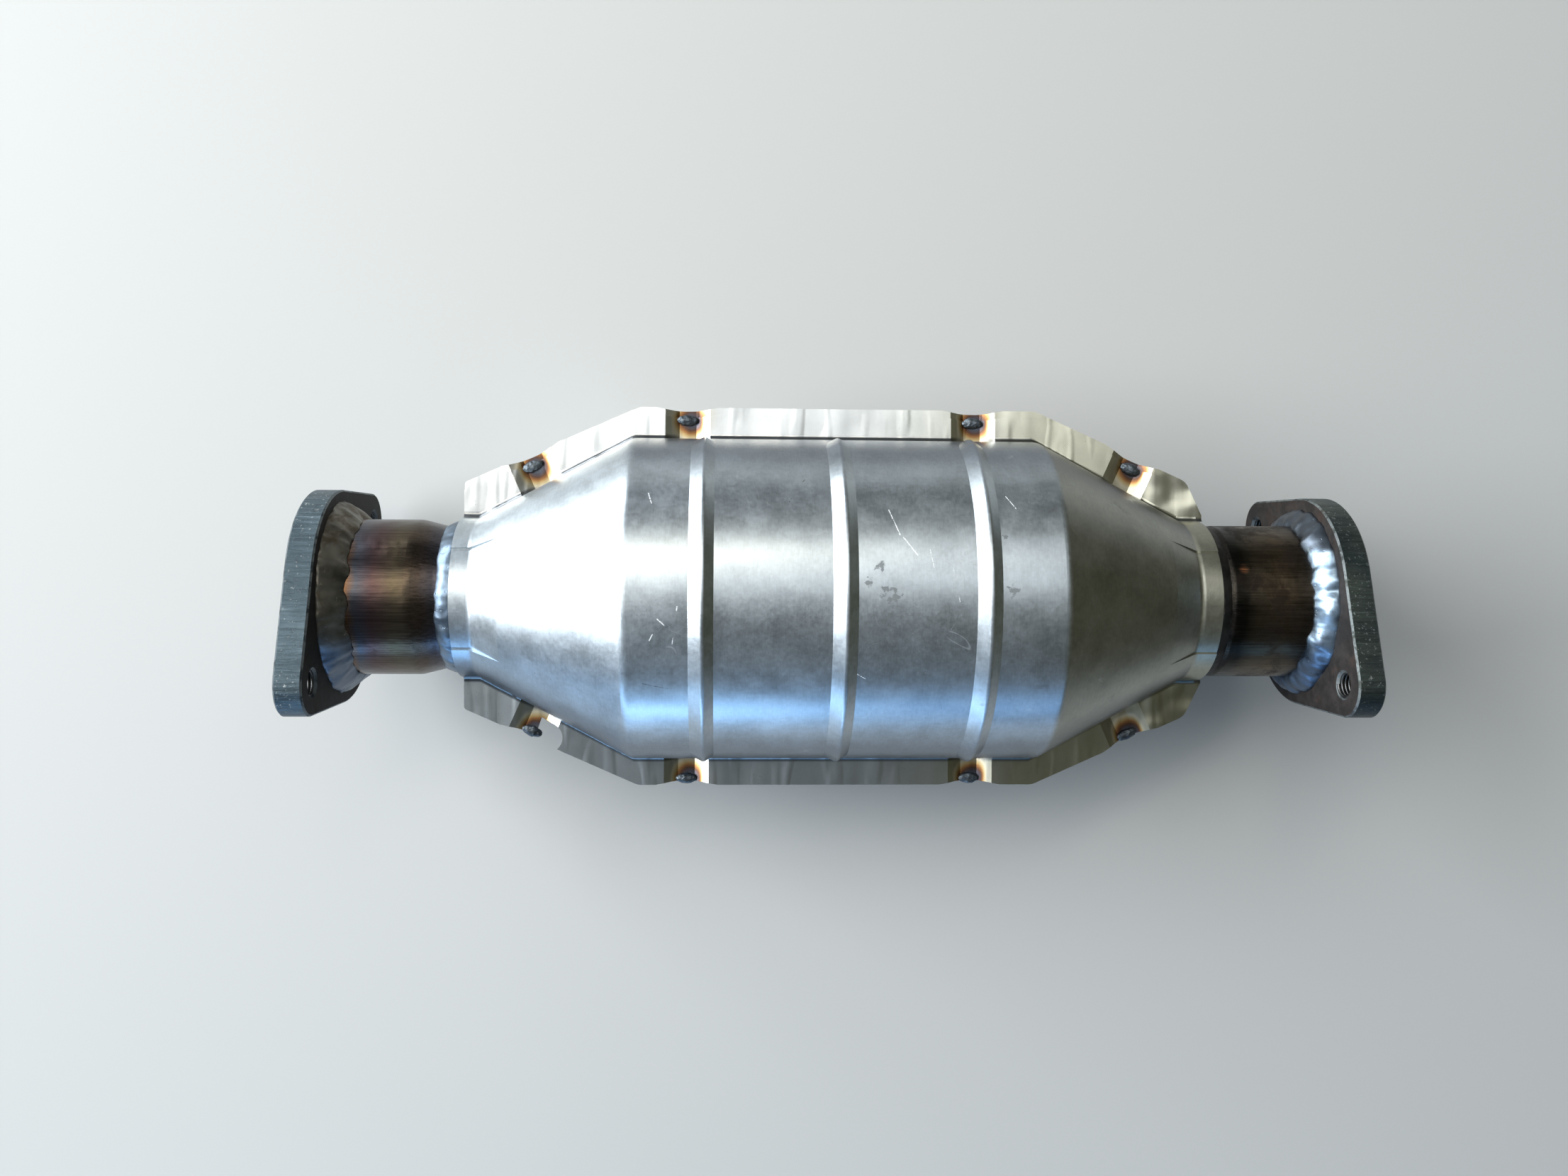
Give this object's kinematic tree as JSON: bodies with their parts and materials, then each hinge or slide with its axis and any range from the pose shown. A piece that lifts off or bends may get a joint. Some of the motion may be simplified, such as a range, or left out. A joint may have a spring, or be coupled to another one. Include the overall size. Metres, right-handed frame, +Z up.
{
  "type": "catalytic converter",
  "caption": "Under-floor catalytic converter: ribbed two-half heat shield over a round can and cones, pipe stubs and thick two-bolt flanges.",
  "frame": {"origin": "centre of the inlet flange's gasket face, on the pipe axis", "axes": "+X along the gas flow from inlet to outlet, +Z up through the middle of the upper heat-shield half, +Y to the left side flange"},
  "size_m": [0.362, 0.1352, 0.118],
  "materials": {
    "shield_sheet": "satin stamped stainless sheet, scratched, heat tinted at the tacks",
    "pipe_steel": "heat-tinted pipe, purple, brown and gold",
    "flange_plate": "laser-cut steel plate, blue-grey rim, rusty brown faces",
    "weld_metal": "lumpy weld metal, blue-grey, part shiny",
    "can_sheet": "dull stainless sheet",
    "ceramic": "matt cordierite honeycomb",
    "fibre_mat": "intumescent fibre mat",
    "wire_mesh": "knitted wire rope"
  },
  "bodies": {
    "root": {"inlet_flange": "flange_plate", "outlet_flange": "flange_plate", "inlet_pipe": "pipe_steel", "outlet_pipe": "pipe_steel", "inlet_flange_weld": "weld_metal", "outlet_flange_weld": "weld_metal", "inlet_neck_weld": "weld_metal", "outlet_neck_weld": "weld_metal", "inlet_cone": "can_sheet", "outlet_cone": "can_sheet", "can_shell": "can_sheet", "inlet_can_weld": "weld_metal", "outlet_can_weld": "weld_metal", "front_brick": "ceramic", "rear_brick": "ceramic", "front_mat": "fibre_mat", "rear_mat": "fibre_mat", "front_mesh_seal": "wire_mesh", "rear_mesh_seal": "wire_mesh", "brick_spacer": "can_sheet", "heat_shield_upper": "shield_sheet", "heat_shield_lower": "shield_sheet", "left_seam_tacks": "weld_metal", "right_seam_tacks": "weld_metal"}
  },
  "joints": []
}
